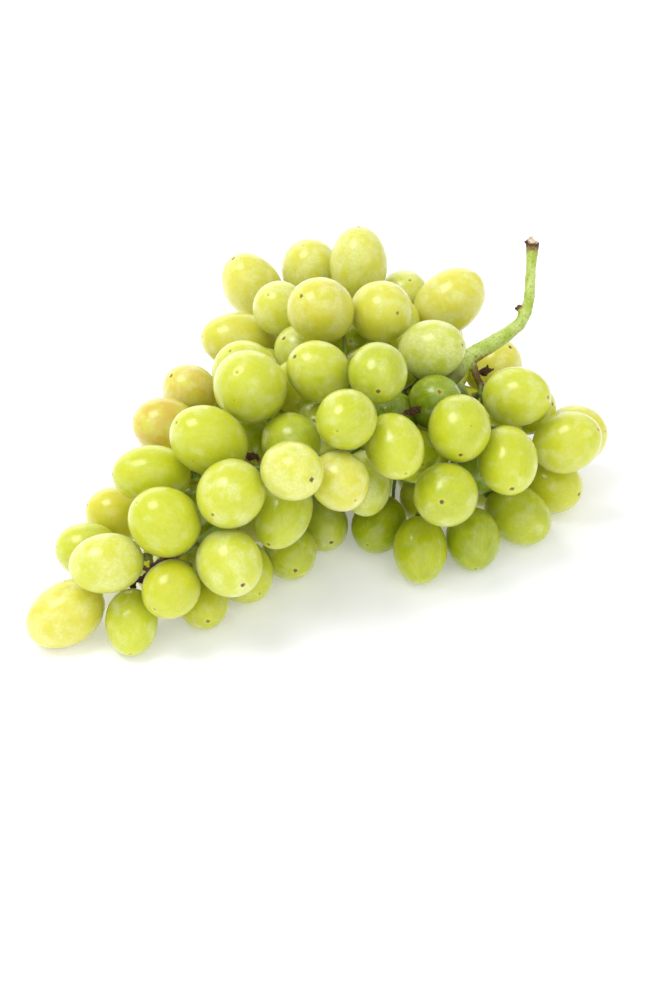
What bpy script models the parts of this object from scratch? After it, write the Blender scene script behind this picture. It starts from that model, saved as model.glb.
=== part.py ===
"""A bunch of white table grapes lying on its side: the berries, and the branched stem that carries them."""
import heapq
import math

import bmesh
import bpy
import mathutils
import numpy as np

MM = 0.001

# The bunch lies with its tip to the front left and its stalk to the back right. The berries that face the
# front are set out on a face that leans back from upright: across it, up its slope and out of it, in mm.
FACE_LEAN = math.radians(35)
ACROSS = np.array([1.0, 0.0, 0.0])
UP_THE_FACE = np.array([0.0, math.sin(FACE_LEAN), math.cos(FACE_LEAN)])
OUT_OF_FACE = np.array([0.0, -math.cos(FACE_LEAN), math.sin(FACE_LEAN)])

# Each berry: where its middle is on the face, its width and length, and how far its free end leans across
# and up the face, where (0, 0) points straight out. It settles near this place, clear of its neighbours.
FACE_BERRIES = {
    "tip_1": ((-74, -34, 65), (18.5, 25.0), (-0.80, -0.50)),
    "tip_2": ((-58, -33, 67), (15.5, 20.5), (0.00, -0.90)),
    "tip_3": ((-63, -18, 76), (17.5, 22.0), (-0.95, -0.15)),
    "tip_4": ((-71, -15, 52), (16.5, 19.5), (-0.90, 0.10)),
    "tip_5": ((-44, -26, 71), (16.5, 18.5), (-0.47, -0.60)),
    "tip_6": ((-36, -30, 60), (15.0, 17.0), (0.20, -0.60)),
    "tip_7": ((-29, -18, 76), (19.0, 21.5), (0.39, -0.57)),
    "tip_8": ((-26, -19, 47), (18.0, 22.0), (0.50, -0.60)),
    "low_1": ((-47, -7, 75), (20.0, 22.0), (-0.70, 0.50)),
    "low_2": ((-62, -5, 40), (16.5, 19.0), (-0.90, 0.30)),
    "low_3": ((-50, 7, 55), (17.5, 23.5), (-0.97, 0.00)),
    "low_4": ((-49, 23, 28), (17.5, 20.5), (-0.90, 0.20)),
    "low_5": ((-42, 34, 14), (16.5, 18.5), (-0.60, 0.50)),
    "low_6": ((-34, 18, 62), (20.0, 25.0), (-0.72, 0.40)),
    "low_7": ((-26, 1, 79), (19.5, 21.5), (-0.45, -0.56)),
    "low_8": ((-37, -1, 47), (16.5, 18.5), (-0.30, -0.30)),
    "mid_1": ((-22, 33, 55), (21.5, 24.0), (-0.30, 0.30)),
    "mid_2": ((-22, 38, 32), (20.0, 23.0), (-0.40, 0.60)),
    "mid_3": ((-26, 52, 0), (18.0, 25.0), (-0.95, 0.10)),
    "mid_4": ((-23, 70, -24), (18.5, 24.0), (-0.50, 0.70)),
    "mid_5": ((-14, 59, 3), (17.0, 18.5), (-0.40, 0.40)),
    "mid_6": ((-1, 58, 21), (20.0, 22.0), (-0.53, 0.34)),
    "mid_7": ((-8, 46, 10), (17.5, 21.0), (-0.60, 0.40)),
    "mid_8": ((-1, 39, 51), (18.0, 20.5), (-0.68, 0.38)),
    "mid_9": ((9, 49, 6), (17.0, 19.0), (0.00, 0.10)),
    "mid_10": ((7, 23, 72), (17.5, 19.5), (-0.29, -0.37)),
    "mid_11": ((-10, 18, 54), (17.0, 19.5), (0.50, -0.20)),
    "mid_12": ((-10, 8, 82), (17.0, 20.5), (0.55, -0.25)),
    "mid_13": ((5, 6, 73), (17.0, 19.0), (0.47, -0.60)),
    "mid_14": ((-12, -4, 64), (16.5, 23.5), (-0.35, -0.76)),
    "mid_15": ((-11, -15, 40), (16.5, 18.5), (0.20, -0.60)),
    "mid_16": ((1, -6, 28), (16.0, 19.0), (0.30, -0.60)),
    "mid_17": ((-1, 22, 41), (16.0, 18.0), (-0.20, 0.20)),
    "mid_18": ((-22, 19, 39), (17.0, 19.0), (-0.20, 0.20)),
    "top_1": ((-4, 76, -28), (19.0, 21.0), (-0.20, 0.70)),
    "top_2": ((12, 77, -18), (18.5, 24.0), (0.00, 0.95)),
    "top_3": ((18, 59, 21), (19.0, 21.0), (0.46, -0.10)),
    "top_4": ((26, 66, -22), (17.0, 19.5), (0.20, 0.50)),
    "top_5": ((40, 64, -12), (19.5, 25.5), (0.75, 0.60)),
    "top_6": ((33, 45, 27), (18.0, 21.5), (0.85, 0.10)),
    "top_7": ((16, 38, 55), (17.5, 20.5), (0.00, -0.56)),
    "top_8": ((37, 53, -26), (17.5, 19.5), (0.60, 0.30)),
    "right_1": ((54, 43, -9), (18.0, 20.0), (0.50, 0.60)),
    "right_2": ((60, 32, 28), (18.0, 22.0), (0.82, -0.05)),
    "right_3": ((65, 29, 5), (17.0, 19.5), (0.80, 0.10)),
    "right_4": ((35, 31, 32), (16.5, 18.5), (0.10, 0.30)),
    "right_5": ((39, 34, 12), (16.0, 18.5), (0.30, 0.30)),
    "right_6": ((41, 21, 52), (18.5, 21.5), (0.00, -0.75)),
    "right_7": ((21, 16, 67), (17.0, 21.5), (0.30, -0.75)),
    "right_8": ((56, 12, 47), (18.0, 23.0), (0.07, -0.74)),
    "right_9": ((46, -10, 33), (16.5, 20.0), (0.06, -0.90)),
    "right_10": ((30, -13, 37), (16.5, 21.5), (0.00, -0.88)),
    "right_11": ((37, 2, 56), (19.0, 21.5), (-0.15, -0.20)),
    "right_12": ((14, 6, 41), (15.5, 20.5), (0.00, -0.95)),
    "right_13": ((17, -7, 27), (16.5, 20.0), (-0.37, -0.63)),
    "right_14": ((26, 15, 42), (16.5, 19.0), (0.20, -0.30)),
    "right_15": ((22, 23, 27), (16.5, 18.5), (0.10, -0.20)),
    "right_17": ((49, 10, 28), (16.5, 19.0), (0.10, -0.30)),
    "right_18": ((53, 21, 16), (16.5, 18.5), (0.30, 0.10)),
    "wing_1": ((76, 18, 25), (18.5, 22.5), (0.80, 0.33)),
    "wing_2": ((80, 21, 4), (19.0, 21.5), (0.85, 0.10)),
    "wing_3": ((72, 8, 8), (17.5, 19.5), (0.80, -0.30)),
    "wing_4": ((60, -3, 22), (17.5, 22.5), (0.75, -0.50)),
}

# Berries behind and under the face, in the bunch's own x, y and z in mm. Those with no z lie on the table.
HIDDEN_WIDTH = 17.0
HIDDEN_LENGTH = 19.5
HIDDEN_BERRIES = {
    "bed_1": (-56, -22), "bed_2": (-47, -6), "bed_3": (-41, 11), "bed_4": (-35, 28),
    "bed_5": (-25, 43), "bed_6": (-9, 52), "bed_7": (9, 55), "bed_8": (26, 49), "bed_9": (40, 38),
    "bed_10": (54, 29), "bed_11": (60, 9), "bed_12": (49, -4),
    "bed_13": (-48, -52), "bed_14": (-39, -36), "bed_15": (-33, -18), "bed_16": (-23, -3),
    "bed_17": (-18, 15), "bed_18": (0, 33), "bed_19": (17, 30), "bed_20": (33, 21), "bed_21": (32, 4),
    "bed_22": (29, -12),
    "bed_23": (8, 14), "bed_24": (14, -3), "bed_25": (-5, -3), "bed_26": (-7, 13), "bed_27": (-17, 26),
    "bed_28": (-19, -21),
    "back_1": (-28, 46, 27), "back_2": (-14, 58, 29), "back_3": (4, 64, 30), "back_4": (21, 62, 27),
    "back_5": (-42, 25, 21), "back_6": (-50, 6, 21),
    "core_1": (6, 40, 40), "core_2": (35, 27, 31), "core_3": (-38, -24, 30), "core_4": (-20, 16, 36),
    "core_5": (46, 21, 23), "core_6": (33, -4, 26), "core_7": (11, -13, 21), "core_8": (-5, -3, 35),
    "core_9": (15, 4, 44), "core_10": (-17, -3, 26), "core_11": (25, 21, 41), "core_12": (4, 8, 29),
    "core_13": (-3, 32, 28), "core_14": (23, 37, 39),
}

# Berries grown so tight that they press flat on each other are one solid. Each is pressed on the one named.
CLUSTERS = {
    "cluster_back": {
        "bed_1": None, "bed_2": "bed_1", "bed_3": "bed_2", "bed_4": "bed_3", "bed_5": "bed_4",
        "bed_6": "bed_5", "bed_7": "bed_6", "bed_8": "bed_7", "bed_9": "bed_8",
        "back_1": "bed_5", "back_2": "back_1", "back_3": "back_2", "back_4": "back_3",
        "back_5": "bed_4", "back_6": "bed_3"},
    "cluster_right_base": {
        "bed_10": None, "bed_11": "bed_10", "bed_12": "bed_11",
        "right_18": "bed_12", "right_3": "right_18", "right_17": "right_18",
        "core_5": "bed_10", "right_5": "core_5", "core_2": "core_5"},
    "cluster_left_inner": {
        "bed_13": None, "bed_14": "bed_13", "bed_15": "bed_14", "bed_16": "bed_15", "bed_17": "bed_16",
        "bed_28": "bed_15", "low_8": "bed_14", "core_3": "low_8", "mid_18": "core_3"},
    "cluster_floor_inner": {
        "bed_18": None, "bed_19": "bed_18", "bed_20": "bed_19", "bed_21": "bed_20", "bed_22": "bed_21",
        "bed_23": "bed_19", "bed_24": "bed_23", "bed_25": "bed_24", "bed_26": "bed_23", "bed_27": "bed_26",
        "core_6": "bed_22", "core_7": "bed_24"},
    "cluster_crown_inner": {
        "mid_7": None, "mid_9": "mid_7", "core_1": "mid_9", "core_4": "mid_7", "core_8": "mid_7",
        "core_9": "core_12", "core_10": "core_8", "core_11": "mid_9", "core_12": "mid_7",
        "core_13": "core_1", "core_14": "core_11"},
    "cluster_right_inner": {
        "right_14": None, "right_15": "right_14", "right_4": "right_15"},
}

# The stem, in x, y and z in mm: the stalk from its cut end to the first fork, the main stem on to the tip,
# and the side branches, each from the point where it leaves the main stem or another branch.
STALK = [(66, 35, 75), (65.5, 29, 68), (64, 20, 58), (58, 16, 52.5), (46, 13, 46)]
MAIN_STEM = [(46, 13, 46), (37, 3, 40), (28, 4, 31), (14, 2, 26), (0, -8, 25), (-12, -24, 25), (-24, -40, 25),
             (-36, -52, 22), (-50, -60, 18), (-54, -66, 16)]
BRANCHES = [
    [(37, 3, 40), (47, -8, 36), (58, -10, 28), (67, -7, 21)],
    [(46, 13, 46), (50, 7, 38), (51, 17, 33)],
    [(28, 4, 31), (25, 18, 27), (29, 36, 26), (34, 42, 34)],
    [(14, 2, 26), (12, 18, 27), (8, 34, 26), (4, 46, 27)],
    [(8, 34, 26), (18, 40, 34), (15, 49, 42)],
    [(14, 2, 26), (9, 0, 38), (7, -1, 48)],
    [(14, 2, 26), (22, -13, 22), (29, -24, 22), (37, -26, 27), (42, -24, 33)],
    [(0, -8, 25), (-6, 6, 26), (-10, 22, 26), (-14, 36, 31), (-17, 46, 37)],
    [(0, -8, 25), (4, -20, 28), (4, -32, 34), (5, -38, 43)],
    [(-12, -24, 25), (-22, -10, 24), (-32, 2, 24), (-38, -4, 29)],
    [(-12, -24, 25), (-14, -36, 32), (-16, -45, 40), (-16, -50, 48)],
    [(-24, -40, 25), (-31, -30, 19), (-39, -30, 18), (-47, -28, 21), (-50, -30, 28)],
]
# Stalks that have lost their berry: where each ends and which way it points.
BARE_STALKS = [((51.5, 12, 41), (1, 0, 0.2)), ((-40, -37, 36), (0, -0.3, 1)), ((28, -20, 47), (1, 0, 0)),
               ((-22, -37, 42), (-1, -0.3, 0.3))]
# A dried bud at the bend of the stalk.
BUD = [(63.5, 19.5, 57.5), (62.3, 20.0, 58.7), (61, 20.5, 60)]

STALK_RADII = (2.0, 1.6, 1.8, 2.3, 2.8)     # at each of its points
MAIN_STEM_RADII = (2.8, 1.2)                # at the first fork and at the tip
BRANCH_RADII = (1.35, 0.9)
BUD_RADII = (0.9, 1.2)
TWIG_RADIUS = 0.75                          # of the stalk of one berry
TWIG_GROWTH = 0.25                          # a twig thickens by this power of the berries it carries
TWIG_STRAIGHT = 2.2                         # it meets its berry straight for this far
COLLAR = [(0.4, 1.6), (0.0, 1.4)]           # the swelling under a berry: distance from the end, radius
LINE_SPACING = 6.0                          # between the rings of the stalk, main stem and branches
LINE_SLACK = 0.7                            # how far a straight run may cut a twig's curve short
SHORTEST_RUN = 1.2

ROUTE_GRID = 1.6                            # the twigs find their way between the berries on this grid
ROUTE_ROOM = 0.7                            # the least room beside a place on a route
ROUTE_REACH = 12.0                          # routes keep within this of a berry
LONGEST_ROUTE = 90.0
CROWDED = 3.0                               # places with less room than this cost a route more
JOINING_REACH = 8.0                         # a twig's straight end may join its route from this far

GAP = 0.35                                  # between one piece and the next
PRESSED = 2.6                               # how far two berries of a cluster press into each other
ON_TABLE_HEIGHT = 12.5                      # a berry whose middle is lower than this lies on the table
COLLAR_ROOM = 1.3                           # radius that the other berries leave round a berry's twig
SETTLE_STEPS = 900
WELD = 0.001                                # a bar's caps are welded to its sides within this
BERRY_SEGMENTS = 10
BERRY_RINGS = 6

GREEN = (0.60, 0.67, 0.17)
SHADED_GREEN = (0.42, 0.55, 0.10)
YELLOW = (0.76, 0.74, 0.24)
AMBER = (0.78, 0.62, 0.28)
STEM_GREEN = (0.30, 0.36, 0.10)
YELLOW_BERRIES = ("mid_3", "mid_12", "top_5", "right_1", "wing_2")
AMBER_BERRIES = ("low_4", "low_5")


# --- the berries' places ---------------------------------------------------------------------------------

def lean_on_face(across, up):
    """The free end's direction, from how far it leans across and up the face."""
    out = math.sqrt(max(0.0, 1.0 - across * across - up * up))
    axis = across * ACROSS + up * UP_THE_FACE + out * OUT_OF_FACE
    return axis / np.linalg.norm(axis)


def smooth_line(points, spacing=LINE_SPACING):
    """A smooth curve through the points, read about every spacing mm."""
    points = np.array(points, float)
    before = np.vstack([2 * points[0] - points[1], points[:-1]])
    after = np.vstack([points[1:], 2 * points[-1] - points[-2]])
    slopes = (after - before) / 2
    line = []
    for k in range(len(points) - 1):
        steps = max(1, round(np.linalg.norm(points[k + 1] - points[k]) / spacing))
        for t in np.arange(steps) / steps:
            blend = 3 * t**2 - 2 * t**3
            line.append((1 - blend) * points[k] + (t**3 - 2 * t**2 + t) * slopes[k]
                        + blend * points[k + 1] + (t**3 - t**2) * slopes[k + 1])
    return np.array(line + [points[-1]])


def taper(count, radii):
    """Radii that run evenly through the given ones."""
    return np.interp(np.linspace(0, 1, count), np.linspace(0, 1, len(radii)), radii)


def stem_lines():
    """Every short run of the stalk, the main stem and the branches: start points, end points and radii."""
    starts, ends, widest = [], [], []
    lines = [(STALK, STALK_RADII), (MAIN_STEM, MAIN_STEM_RADII)]
    lines += [(branch, BRANCH_RADII) for branch in BRANCHES]
    for points, radii in lines:
        line = smooth_line(points)
        radius = taper(len(line), radii)
        starts.extend(line[:-1])
        ends.extend(line[1:])
        widest.extend(np.maximum(radius[:-1], radius[1:]))
    return np.array(starts), np.array(ends), np.array(widest)


def nearest_on_segments(p1, q1, p2, q2):
    """The closest points of segments p1-q1 and p2-q2, for arrays of segments."""
    d1, d2, r = q1 - p1, q2 - p2, p1 - p2
    a = np.maximum((d1 * d1).sum(-1), 1e-9)
    e = np.maximum((d2 * d2).sum(-1), 1e-9)
    b, c, f = (d1 * d2).sum(-1), (d1 * r).sum(-1), (d2 * r).sum(-1)
    parallel = a * e - b * b
    s = np.where(parallel > 1e-9, np.clip((b * f - c * e) / np.maximum(parallel, 1e-9), 0, 1), 0.5)
    t = np.clip((b * s + f) / e, 0, 1)
    s = np.clip((b * t - c) / a, 0, 1)
    return p1 + s[..., None] * d1, p2 + t[..., None] * d2


class Bunch:
    """The berries' middles, axes and sizes as arrays, in mm, with the berries of a cluster told apart."""

    def __init__(self):
        self.names = list(FACE_BERRIES) + list(HIDDEN_BERRIES)
        middles, widths, lengths, axes = [], [], [], []
        for (across, up, out), (width, length), lean in FACE_BERRIES.values():
            middles.append(across * ACROSS + up * UP_THE_FACE + out * OUT_OF_FACE)
            widths.append(width)
            lengths.append(length)
            axes.append(lean_on_face(*lean))
        starts, ends, _ = stem_lines()
        for place in HIDDEN_BERRIES.values():
            middle = np.array(place if len(place) == 3 else (*place, HIDDEN_WIDTH / 2), float)
            point = np.broadcast_to(middle, starts.shape)
            on_stem, _ = nearest_on_segments(starts, ends, point, point + 1e-6)
            away = middle - on_stem[np.argmin(np.linalg.norm(on_stem - middle, axis=1))]
            middles.append(middle)
            widths.append(HIDDEN_WIDTH)
            lengths.append(HIDDEN_LENGTH)
            axes.append(away / np.linalg.norm(away))
        self.seed = np.array(middles)
        self.middle = self.seed.copy()
        self.radius = np.array(widths) / 2
        self.half = (np.array(lengths) - np.array(widths)) / 2      # from the middle to each end's centre
        self.axis = np.array(axes)
        self.on_face = np.array([name in FACE_BERRIES for name in self.names])
        self.on_table = self.seed[:, 2] < ON_TABLE_HEIGHT
        self.family = np.full(len(self.names), -1)
        self.pressed_on = []
        for number, members in enumerate(CLUSTERS.values()):
            for name, other in members.items():
                self.family[self.names.index(name)] = number
                if other:
                    self.pressed_on.append((self.names.index(name), self.names.index(other)))

    def core(self):
        """The segment inside each berry that its surface keeps its radius from."""
        return self.middle - self.axis * self.half[:, None], self.middle + self.axis * self.half[:, None]

    def bottom(self):
        return self.middle[:, 2] - np.abs(self.axis[:, 2]) * self.half - self.radius

    def stalk_end(self, clear):
        """The point where each berry's stalk ends, this far clear of the berry."""
        return self.middle - self.axis * (self.half + self.radius + clear)[:, None]


def push(move, index, other, vector, amount):
    """Adds to move the shifts that take the pairs apart by amount along vector, half each."""
    np.add.at(move, index, vector * (amount / 2)[:, None])
    np.add.at(move, other, -vector * (amount / 2)[:, None])


def away_from(here, there):
    """The direction from there to here, and the distance, row by row."""
    apart = here - there
    distance = np.linalg.norm(apart, axis=1) + 1e-9
    return apart / distance[:, None], distance


def settle(bunch):
    """Moves the berries, near their places, until none runs into another, a twig, the stem or the table.

    A berry on the face slides in and out of it more readily than across it.
    """
    first, second = np.triu_indices(len(bunch.names), 1)
    same = (bunch.family[first] >= 0) & (bunch.family[first] == bunch.family[second])
    room = np.where(same, -PRESSED, GAP)
    child, parent = np.array(bunch.pressed_on).T
    starts, ends, stem_radius = stem_lines()
    count, runs = len(bunch.names), len(starts)
    berry_of, run_of = np.repeat(np.arange(count), runs), np.tile(np.arange(runs), count)
    twig_of, near_twig = np.where(~np.eye(count, dtype=bool))
    out_part = np.outer(OUT_OF_FACE, OUT_OF_FACE)
    sideways_give = np.where(bunch.on_face, 0.55, 1.0)[:, None]
    sideways_hold = np.where(bunch.on_face, 0.10, 0.02)[:, None]
    out_hold, sink, stride = 0.02, 0.3, 0.7
    for step in range(SETTLE_STEPS):
        low, high = bunch.core()
        move = np.zeros_like(bunch.middle)

        here, there = nearest_on_segments(low[first], high[first], low[second], high[second])
        way, distance = away_from(here, there)
        needed = bunch.radius[first] + bunch.radius[second] + room
        push(move, first, second, way, np.maximum(0, needed - distance))

        here, there = nearest_on_segments(low[child], high[child], low[parent], high[parent])
        way, distance = away_from(here, there)
        pressed = bunch.radius[child] + bunch.radius[parent] - PRESSED
        push(move, child, parent, way, -np.maximum(0, distance - pressed - 0.1))

        here, there = nearest_on_segments(low[berry_of], high[berry_of], starts[run_of], ends[run_of])
        way, distance = away_from(here, there)
        overlap = np.maximum(0, bunch.radius[berry_of] + stem_radius[run_of] + GAP - distance)
        np.add.at(move, berry_of, way * overlap[:, None])

        twig, twig_end = bunch.stalk_end(GAP), bunch.stalk_end(GAP + TWIG_STRAIGHT + 1.0)
        here, there = nearest_on_segments(twig[twig_of], twig_end[twig_of], low[near_twig], high[near_twig])
        way, distance = away_from(here, there)
        needed = bunch.radius[near_twig] + COLLAR_ROOM + GAP
        push(move, twig_of, near_twig, way, np.maximum(0, needed - distance))

        out = move @ out_part
        move = out + (move - out) * sideways_give
        pull = bunch.seed - bunch.middle
        out_pull = pull @ out_part
        hold = max(0.0, 1.0 - step / (0.75 * SETTLE_STEPS))
        move += hold * (sideways_hold * (pull - out_pull) + out_hold * out_pull)
        move[:, 2] -= np.where(bunch.on_table, sink * bunch.bottom(), 0.0)
        bunch.middle = bunch.middle + stride * move
        bunch.middle[:, 2] += np.maximum(0, -bunch.bottom())


# --- the twigs' routes -----------------------------------------------------------------------------------

def room_around(points, bunch):
    """How far each point is from the skin of the nearest berry."""
    low, high = bunch.core()
    room = np.full(len(points), np.inf)
    for start, end, radius in zip(low, high, bunch.radius):
        along = end - start
        t = np.clip((points - start) @ along / max(along @ along, 1e-9), 0, 1)
        room = np.minimum(room, np.linalg.norm(points - start - t[:, None] * along, axis=1) - radius)
    return room


class Routes:
    """The ways from every free place among the berries back to the nearest stem line, on a grid."""

    def __init__(self, bunch, lines):
        low = bunch.middle.min(axis=0) - 6
        self.low = np.array([low[0], low[1], 2.0])
        self.shape = tuple(((bunch.middle.max(axis=0) + 6 - self.low) / ROUTE_GRID).astype(int) + 1)
        self.places = self.low + ROUTE_GRID * np.stack(
            np.meshgrid(*[np.arange(n) for n in self.shape], indexing="ij"), axis=-1).reshape(-1, 3)
        self.room = room_around(self.places, bunch)
        self.free = self.room > ROUTE_ROOM
        self.cost = np.full(len(self.places), np.inf)
        self.back = np.full(len(self.places), -1)
        self.source = {}
        heap = []
        for place in lines:
            index = self.index_at(place)
            if self.free[index] and self.cost[index] > 0:
                self.cost[index] = 0.0
                self.source[index] = place
                heap.append((0.0, index))
        self.search(heap)

    def index_at(self, place):
        cell = np.rint((np.asarray(place) - self.low) / ROUTE_GRID).astype(int)
        return int(np.ravel_multi_index(np.clip(cell, 0, np.array(self.shape) - 1), self.shape))

    def search(self, heap):
        """Spreads out from the stem lines, cheapest place first, keeping to the roomier gaps."""
        near = (-1, 0, 1)
        steps = [(x, y, z) for x in near for y in near for z in near if (x, y, z) != (0, 0, 0)]
        strides = [(x * self.shape[1] + y) * self.shape[2] + z for x, y, z in steps]
        lengths = [ROUTE_GRID * math.sqrt(x * x + y * y + z * z) for x, y, z in steps]
        inside = np.zeros(self.shape, bool)
        inside[1:-1, 1:-1, 1:-1] = True
        open_place = (self.free & inside.ravel() & (self.room < ROUTE_REACH)).tolist()
        crowding = (1 + 0.6 * np.maximum(0, CROWDED - self.room)).tolist()
        cost = self.cost.tolist()
        back = self.back.tolist()
        heapq.heapify(heap)
        while heap:
            reached, index = heapq.heappop(heap)
            if reached > cost[index] or reached > LONGEST_ROUTE:
                continue
            for stride, length in zip(strides, lengths):
                other = index + stride
                if 0 <= other < len(cost) and open_place[other]:
                    total = reached + length * crowding[other]
                    if total < cost[other]:
                        cost[other] = total
                        back[other] = index
                        heapq.heappush(heap, (total, other))
        self.cost = np.array(cost)
        self.back = np.array(back)

    def way_back(self, place):
        """Grid places from near the given place to a stem line, and the stem line's own point last."""
        away = np.linalg.norm(self.places - place, axis=1)
        near = np.flatnonzero((away < JOINING_REACH) & np.isfinite(self.cost))
        index = int(near[np.argmin(self.cost[near] + 3 * away[near])])
        way = [index]
        while self.back[index] >= 0:
            index = int(self.back[index])
            way.append(index)
        return way, self.source[index]


class Twigs:
    """The berries' twigs as nodes that each know the node nearer to the stem."""

    def __init__(self):
        self.place, self.parent, self.held = [], [], []
        self.at_grid = {}

    def add(self, place, parent, held):
        self.place.append(np.asarray(place, float))
        self.parent.append(parent)
        self.held.append(held)
        return len(self.place) - 1

    def add_way(self, routes, end, direction):
        """Adds a twig from the stem to end, which it reaches along direction."""
        straight = end - TWIG_STRAIGHT * direction
        way, on_stem = routes.way_back(straight)
        last = None
        for index in reversed(way):
            if index not in self.at_grid:
                if last is None:
                    last = self.add(on_stem, -1, True)
                self.at_grid[index] = self.add(routes.places[index], last, False)
            last = self.at_grid[index]
        last = self.add(straight, last, True)
        for distance, _ in COLLAR:
            last = self.add(end - distance * direction, last, True)

    def relax(self, bunch, rounds=40):
        """Draws the twigs smooth while keeping them clear of the berries."""
        place, parent = np.array(self.place), np.array(self.parent)
        low, high = bunch.core()
        loose = np.flatnonzero(~np.array(self.held))
        linked = np.flatnonzero(parent >= 0)
        number = np.zeros(len(place))
        np.add.at(number, parent[linked], 1)
        for _ in range(rounds):
            beyond = np.zeros_like(place)
            np.add.at(beyond, parent[linked], place[linked])
            target = (place[parent] + beyond / np.maximum(number, 1)[:, None]) / 2
            place[loose] += 0.5 * (target[loose] - place[loose])
            for start, end, radius in zip(low, high, bunch.radius):
                along = end - start
                t = np.clip((place[loose] - start) @ along / max(along @ along, 1e-9), 0, 1)
                away = place[loose] - start - t[:, None] * along
                distance = np.linalg.norm(away, axis=1) + 1e-9
                short = np.maximum(0, radius + TWIG_RADIUS + 2 * GAP - distance)
                place[loose] += away / distance[:, None] * short[:, None]
        self.place = list(place)

    def carried(self):
        """How many berries hang on each node."""
        count = [0] * len(self.parent)
        inner = set(self.parent)
        for node in range(len(self.parent)):
            if node not in inner:
                while node >= 0:
                    count[node] += 1
                    node = self.parent[node]
        return count

    def runs(self, bunch):
        """The twigs as long runs of points and radii, each smaller one starting inside a bigger one."""
        children = {}
        for node, parent in enumerate(self.parent):
            children.setdefault(parent, []).append(node)
        count = self.carried()
        main_child = {node: max(below, key=lambda child: count[child]) for node, below in children.items()}
        room = room_around(np.array(self.place), bunch)
        for node, parent in enumerate(self.parent):
            if parent < 0 or (self.parent[parent] >= 0 and main_child[parent] == node):
                continue
            chain = [parent, node]
            while chain[-1] in main_child:
                chain.append(main_child[chain[-1]])
            body, collar = chain[:-len(COLLAR)], chain[-len(COLLAR):]
            kept = thinned([self.place[step] for step in body])
            radii = []
            for step in kept:
                wanted = TWIG_RADIUS * count[body[max(step, 1)]] ** TWIG_GROWTH
                radii.append(min(wanted, max(TWIG_RADIUS, room[body[step]] - GAP)))
            points = [self.place[body[step]] for step in kept] + [self.place[step] for step in collar]
            yield points, radii + [radius for _, radius in COLLAR]


def thinned(points):
    """Which of the points to keep so that straight runs between them stay within the line's slack."""
    kept = {0, len(points) - 1}
    spans = [(0, len(points) - 1)]
    while spans:
        first, last = spans.pop()
        chord = points[last] - points[first]
        off = []
        for point in points[first + 1:last]:
            t = np.clip((point - points[first]) @ chord / (chord @ chord), 0, 1)
            off.append(np.linalg.norm(points[first] + t * chord - point))
        if off and max(off) > LINE_SLACK:
            middle = first + 1 + int(np.argmax(off))
            kept.add(middle)
            spans += [(first, middle), (middle, last)]
    kept = sorted(kept)
    apart = [b for a, b in zip(kept, kept[1:-1]) if np.linalg.norm(points[b] - points[a]) > SHORTEST_RUN]
    return [kept[0]] + apart + [kept[-1]]


def grow_twigs(bunch):
    """Every berry's twig, and the bare ones, from the stem to where it ends."""
    lines = np.vstack([smooth_line(points, spacing=1.0)[3:-2] for points in [MAIN_STEM] + BRANCHES])
    routes = Routes(bunch, lines)
    twigs = Twigs()
    for end, direction in zip(bunch.stalk_end(GAP), bunch.axis):
        twigs.add_way(routes, end, direction)
    for end, direction in BARE_STALKS:
        twigs.add_way(routes, np.array(end, float), np.array(direction) / np.linalg.norm(direction))
    twigs.relax(bunch)
    return twigs


# --- solids ----------------------------------------------------------------------------------------------

def finish(name, colour, roughness):
    material = bpy.data.materials.new(name)
    material.use_nodes = True
    shader = material.node_tree.nodes["Principled BSDF"]
    shader.inputs["Base Color"].default_value = (*colour, 1.0)
    shader.inputs["Roughness"].default_value = roughness
    return material


def new_object(name, data, collection):
    obj = bpy.data.objects.new(name, data)
    collection.objects.link(obj)
    return obj


def as_mesh(obj, name, collection):
    """The object's evaluated shape as a mesh object of its own; the first object is removed."""
    bpy.context.view_layer.update()
    graph = bpy.context.evaluated_depsgraph_get()
    mesh = bpy.data.meshes.new_from_object(obj.evaluated_get(graph))
    bpy.data.objects.remove(obj)
    return new_object(name, mesh, collection)


def tube(points, radii, collection, resolution=1):
    """A round bar along the points, with its own radius at each."""
    curve = bpy.data.curves.new("tube", "CURVE")
    curve.dimensions = "3D"
    curve.bevel_depth = MM
    curve.bevel_resolution = resolution
    curve.use_fill_caps = True
    spline = curve.splines.new("POLY")
    spline.points.add(len(points) - 1)
    for knot, point, radius in zip(spline.points, points, radii):
        knot.co = (*(np.asarray(point) * MM), 1)
        knot.radius = radius
    bar = as_mesh(new_object("tube", curve, collection), "tube", collection)
    form = bmesh.new()
    form.from_mesh(bar.data)
    bmesh.ops.remove_doubles(form, verts=form.verts, dist=WELD * MM)
    form.to_mesh(bar.data)
    form.free()
    return bar


def joined(base, others, name, target):
    """One solid from base and everything in the collection others, which are used up."""
    union = base.modifiers.new("join", "BOOLEAN")
    union.operation = "UNION"
    union.solver = "EXACT"
    union.operand_type = "COLLECTION"
    union.collection = others
    result = as_mesh(base, name, target)
    for obj in list(others.objects):
        bpy.data.objects.remove(obj)
    bpy.data.collections.remove(others)
    return result


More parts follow.
